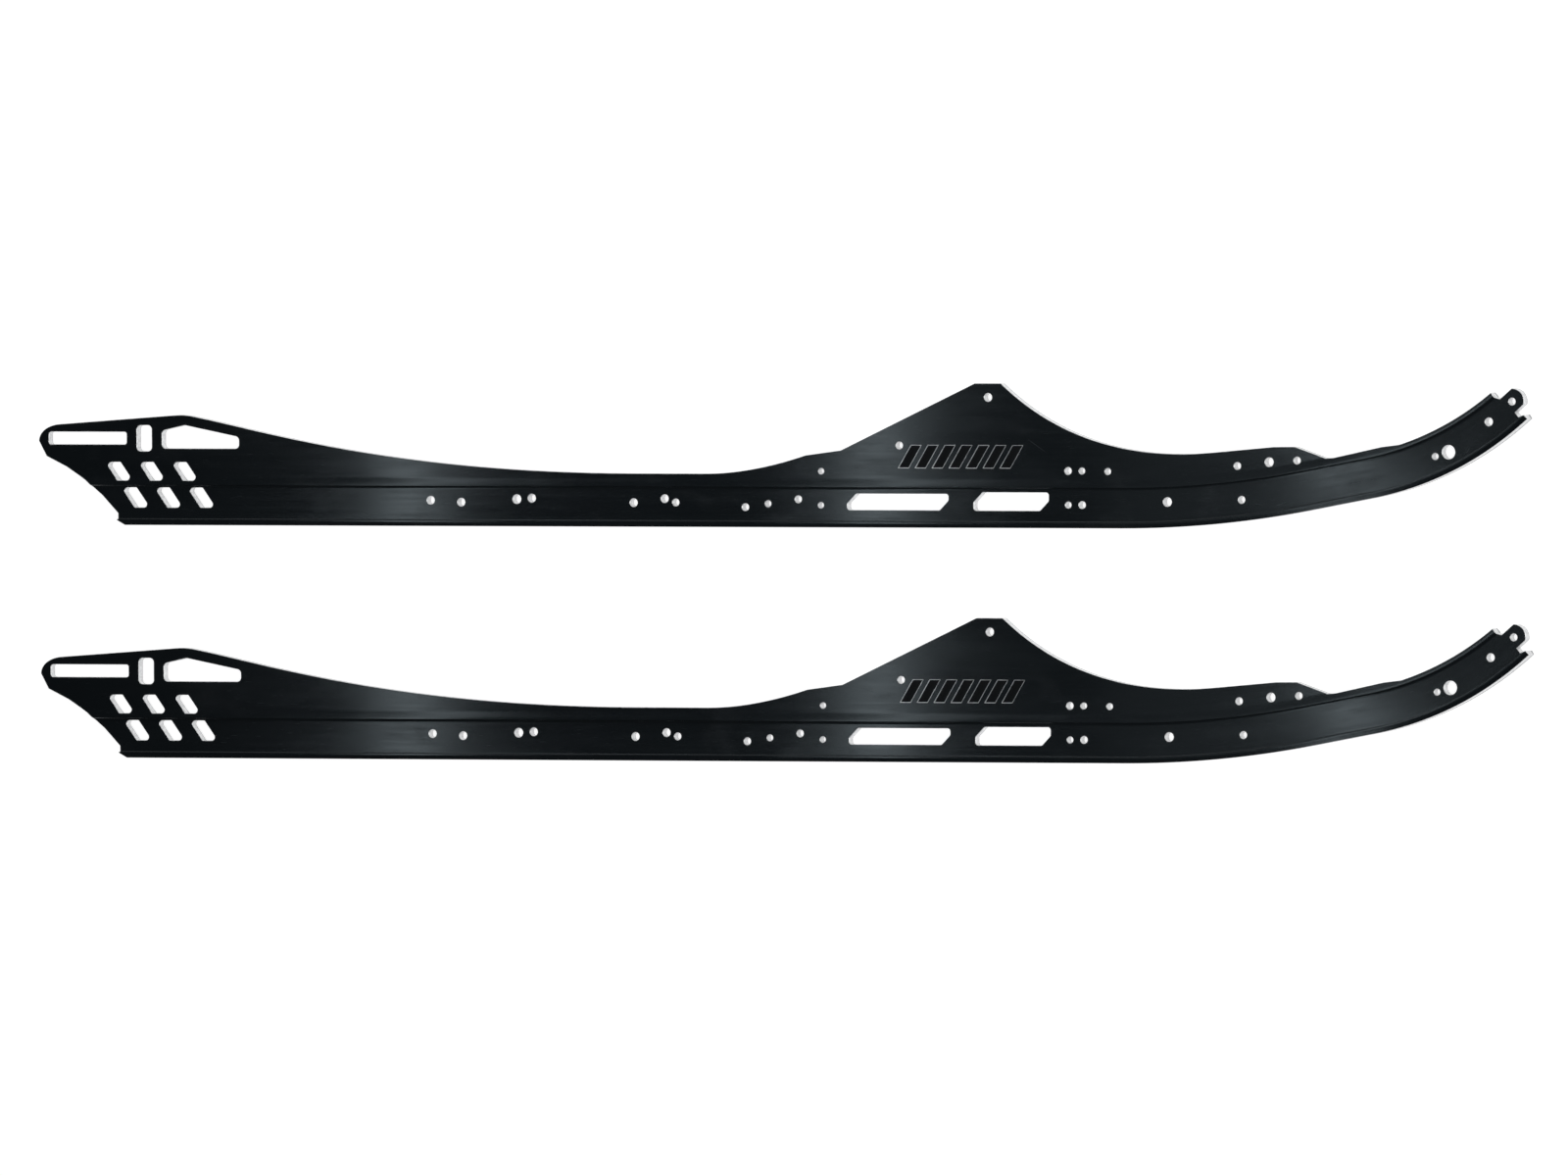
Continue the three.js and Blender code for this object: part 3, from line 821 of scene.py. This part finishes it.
def anodised_material():
    """Satin black anodising with die lines, handling haze, smears and worn edges."""
    material, nodes, links, shader = new_material("black_anodised")
    die_lines = stretched_noise(nodes, links, (2.5, 1400, 40), detail=3, roughness=0.6)
    haze = stretched_noise(nodes, links, (7, 30, 20), detail=4, roughness=0.55)
    smear = stretched_patches(nodes, links, (22, 120, 20), 0.5, 0.75, 3, 0.6, 0.12)
    smudge = stretched_patches(nodes, links, (13, 22, 20), 0.56, 0.72, 3, 0.65, 0.5)
    scratch = stretched_patches(nodes, links, (60, 2600, 10), 0.72, 0.78, 1, 0.5, 0.35)
    streaks = stretched_patches(nodes, links, (5, 300, 20), 0.35, 0.65)
    wear = worn_edges(nodes, links)
    for mark in MARKS:
        scratch = combine(nodes, links, "MAXIMUM", scratch, handling_mark(nodes, links, *mark))
    tone = colour_between(nodes, links, haze, (0.0036, 0.0052, 0.0064), (0.0060, 0.0080, 0.0097))
    for value, amount, colour in (
        (smudge, 0.35, (0.012, 0.0135, 0.015)),
        (scratch, 0.6, (0.035, 0.039, 0.042)),
    ):
        share = combine(nodes, links, "MULTIPLY", value, amount)
        tone = colour_between(nodes, links, share, tone, colour)
    tone = colour_between(nodes, links, wear, tone, (0.16, 0.165, 0.17))
    links.new(tone, shader.inputs["Base Color"])
    rough = remap(nodes, links, die_lines, 0.3, 0.7, 0.188, 0.212)
    for value, amount in (
        (haze, 0.1), (smear, 0.04), (smudge, 0.05), (streaks, 0.028), (wear, 0.15),
    ):
        share = combine(nodes, links, "MULTIPLY", value, amount)
        rough = combine(nodes, links, "ADD", rough, share)
    links.new(combine(nodes, links, "SUBTRACT", rough, 0.07), shader.inputs["Roughness"])
    waves = bump(nodes, links, stretched_noise(nodes, links, (9, 16, 10), detail=1), 0.0004, 0.5)
    links.new(bump(nodes, links, die_lines, 0.00002, 0.25, waves), shader.inputs["Normal"])
    shader.inputs["IOR"].default_value = 1.5
    shader.inputs["Specular Tint"].default_value = (0.84, 0.95, 1.0, 1)
    return material


def handling_mark(nodes, links, along, above, heading, half_length, half_width):
    """A soft-ended mark on the front of rail 1, as 0 to 1."""
    front_of_rail_1 = 1 + FLANGE_HALF * MM
    from_middle = nodes.new("ShaderNodeVectorMath")
    from_middle.operation = "SUBTRACT"
    from_middle.inputs[1].default_value = (along * MM, above * MM, front_of_rail_1)
    links.new(rail_place(nodes, "noise_place"), from_middle.inputs[0])
    cos, sin = math.cos(heading), math.sin(heading)
    axes = ((cos, sin, 0), (-sin, cos, 0), (0, 0, 1))
    mark = None
    for axis, reach in zip(axes, (half_length, half_width, FLANGE_HALF)):
        share = nodes.new("ShaderNodeVectorMath")
        share.operation = "DOT_PRODUCT"
        share.inputs[1].default_value = axis
        links.new(from_middle.outputs["Vector"], share.inputs[0])
        away = combine(nodes, links, "ABSOLUTE", share.outputs["Value"], 0)
        near = remap(nodes, links, away, reach * 0.4 * MM, reach * MM, 1, 0)
        mark = near if mark is None else combine(nodes, links, "MULTIPLY", mark, near)
    return mark


def worn_edges(nodes, links):
    """How far the anodising is rubbed through, in broken patches along the cut edges."""
    edge = nodes.new("ShaderNodeAttribute")
    edge.attribute_name = "edge_distance"
    near = remap(nodes, links, edge.outputs["Fac"], 0.0003, 0.0013, 1, 0)
    patches = stretched_patches(nodes, links, (70, 70, 70), 0.5, 0.68, 4, 0.65)
    return combine(nodes, links, "MULTIPLY", near, patches)


def bare_material():
    """Machined aluminium on the cut walls and edges: cutter marks across the thickness, painted
    shade at the back.
    """
    material, nodes, links, shader = new_material("bare_aluminium")
    marks = stretched_noise(nodes, links, (700, 700, 30), detail=2, roughness=0.5)
    cloud = stretched_patches(nodes, links, (330, 330, 330), 0.3, 0.7, detail=3)
    tone = colour_between(nodes, links, cloud, (0.52, 0.525, 0.53), (0.76, 0.765, 0.77))
    depth = nodes.new("ShaderNodeSeparateXYZ")
    links.new(rail_place(nodes), depth.inputs["Vector"])
    # Painted shade: the walls darken towards the back face, where they come near the floor.
    painted_back_shade = remap(nodes, links, depth.outputs["Z"], -0.0043, -0.0032, 0.9, 0)
    tone = colour_between(nodes, links, painted_back_shade, tone, (0.2, 0.205, 0.21))
    links.new(tone, shader.inputs["Base Color"])
    shader.inputs["Metallic"].default_value = 1
    links.new(remap(nodes, links, marks, 0.3, 0.7, 0.3, 0.44), shader.inputs["Roughness"])
    links.new(bump(nodes, links, marks, 0.00008, 0.5), shader.inputs["Normal"])
    return material


def engraved_material():
    """The floor of the engraved bars: a dull, darker black with a fine cutter grain."""
    material, nodes, links, shader = new_material("engraved_black")
    grain = stretched_noise(nodes, links, (900, 900, 10), detail=2, turn=0.5)
    tone = colour_between(nodes, links, grain, (0.0020, 0.0026, 0.0032), (0.0042, 0.0050, 0.0058))
    links.new(tone, shader.inputs["Base Color"])
    links.new(remap(nodes, links, grain, 0.3, 0.7, 0.5, 0.62), shader.inputs["Roughness"])
    links.new(bump(nodes, links, grain, 0.00004, 0.4), shader.inputs["Normal"])
    shader.inputs["Specular IOR Level"].default_value = 0.12
    return material


# ---- Stage, in metres ----

FLOOR_REACH = 30
FLOOR_SIDES = 64
FLOOR_DROP = 0.0005

# Where each strip light is, its width, its near end, and its radiance
STRIPS = [
    (-0.698, 0.045, -0.38, 5.1),
    (-0.163, 0.045, -0.38, 5.1),
    (0.37, 0.045, -0.95, 4.5),
    (0.4, 0.6, -0.4, 0.17),
]
STRIP_HEIGHT = 0.6
STRIP_END = 1.0
STRIP_COLOUR = (0.94, 0.98, 1.0)

# Name, place, target, size and power of each wide panel
PANELS = [
    ("back", (0, 2.6, 1), (0, 0, 0), (5, 1.2), math.pi * 6 * 1.3),
    ("side", (2.6, 0, 1.3), (0.2, 0, 0), (2.4, 1.2), 30),
]

CAMERA_YAW = math.radians(25)
CAMERA_PITCH = math.radians(1.5)
CAMERA_ROLL = math.radians(0.46157)
CAMERA_DISTANCE = 50
FRAME_WIDTH = 1.6
FRAME_SHIFT = (-0.0006, -0.0165)


def pale_material():
    material, _, _, shader = new_material("pale_floor")
    shader.inputs["Base Color"].default_value = (0.35, 0.35, 0.35, 1)
    shader.inputs["Roughness"].default_value = 0.9
    shader.inputs["Specular IOR Level"].default_value = 0.1
    shader.inputs["Emission Color"].default_value = (1, 1, 1, 1)
    shader.inputs["Emission Strength"].default_value = 0.94
    return material


def floor():
    """A plain pale floor under the rails, wide enough to fill the low views too."""
    angles = np.arange(FLOOR_SIDES) * math.tau / FLOOR_SIDES
    points = [(math.cos(a) * FLOOR_REACH, math.sin(a) * FLOOR_REACH, -FLOOR_DROP) for a in angles]
    mesh = bpy.data.meshes.new("floor")
    mesh.from_pydata(points, [], [tuple(range(FLOOR_SIDES))])
    mesh.materials.append(pale_material())
    made = bpy.data.objects.new("floor", mesh)
    bpy.context.scene.collection.objects.link(made)


def world():
    """A plain studio surround: dim above the horizon, and as pale as the floor below it.

    The floor hides the pale half from the rails. It shows only past the floor's end in low views.
    """
    made = bpy.data.worlds.new("studio")
    made.use_nodes = True
    nodes, links = made.node_tree.nodes, made.node_tree.links
    direction = nodes.new("ShaderNodeTexCoord")
    split = nodes.new("ShaderNodeSeparateXYZ")
    ramp = nodes.new("ShaderNodeValToRGB")
    links.new(direction.outputs["Generated"], split.inputs["Vector"])
    links.new(split.outputs["Z"], ramp.inputs["Fac"])
    links.new(ramp.outputs["Color"], nodes["Background"].inputs["Color"])
    stops = ramp.color_ramp.elements
    stops[0].position, stops[0].color = 0, (0.97, 0.97, 0.97, 1)
    stops[1].position, stops[1].color = 0.62, (0.045, 0.047, 0.05, 1)
    for position in (0.0005, 0.4):
        stops.new(position).color = (0.08, 0.082, 0.085, 1)
    bpy.context.scene.world = made


def softbox(name, place, target, size, power, colour):
    """A rectangular soft light facing its target."""
    data = bpy.data.lights.new(name, "AREA")
    data.shape = "RECTANGLE"
    data.size, data.size_y = size
    data.energy = power
    data.color = colour
    lamp = bpy.data.objects.new(name, data)
    lamp.location = place
    lamp.rotation_euler = (Vector(target) - Vector(place)).to_track_quat("-Z", "Y").to_euler()
    lamp.visible_camera = False
    bpy.context.scene.collection.objects.link(lamp)


def lights():
    for i, (x, width, near_end, radiance) in enumerate(STRIPS):
        length = STRIP_END - near_end
        y = (STRIP_END + near_end) / 2
        power = math.pi * width * length * radiance
        place = (x, y, STRIP_HEIGHT)
        softbox(f"strip_{i}", place, (x, y, 0), (width, length), power, STRIP_COLOUR)
    for name, place, target, size, power in PANELS:
        softbox(name, place, target, size, power, (1, 1, 1))


def camera():
    """The photograph's view: nearly square on, 25 degrees round towards the tips."""
    level_share = math.cos(CAMERA_PITCH)
    towards = Vector((
        math.sin(CAMERA_YAW) * level_share,
        math.sin(CAMERA_PITCH),
        math.cos(CAMERA_YAW) * level_share,
    ))
    level = Vector((math.cos(CAMERA_YAW), 0, -math.sin(CAMERA_YAW)))
    upright = towards.cross(level)
    right = level * math.cos(CAMERA_ROLL) - upright * math.sin(CAMERA_ROLL)
    up = level * math.sin(CAMERA_ROLL) + upright * math.cos(CAMERA_ROLL)
    target = right * FRAME_SHIFT[0] + up * FRAME_SHIFT[1]
    data = bpy.data.cameras.new("camera")
    data.sensor_width = 36
    data.lens = data.sensor_width * CAMERA_DISTANCE / FRAME_WIDTH
    data.clip_start, data.clip_end = 1, 2 * CAMERA_DISTANCE
    made = bpy.data.objects.new("camera", data)
    turn = Matrix((right, up, towards)).transposed().to_4x4()
    made.matrix_world = Matrix.Translation(target + towards * CAMERA_DISTANCE) @ turn
    bpy.context.scene.collection.objects.link(made)
    bpy.context.scene.camera = made


# ---- The scene ----


def rails():
    sheet = rail_sheet()
    materials = (anodised_material(), bare_material(), engraved_material())
    for number in (1, 2):
        node = f"slide_rail_{number}"
        low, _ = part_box(node)
        mesh = rail_mesh(number, sheet)
        for material in materials:
            mesh.materials.append(material)
        piece = bpy.data.objects.new(f"rail_{number}_body", mesh)
        piece.location = (low.x, low.y, low.z + FLANGE_HALF * MM)
        bpy.context.scene.collection.objects.link(piece)
        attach(piece, f"rail_{number}")
        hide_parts(node)


bpy.context.scene.view_settings.view_transform = "Standard"
camera()
world()
floor()
lights()
rails()
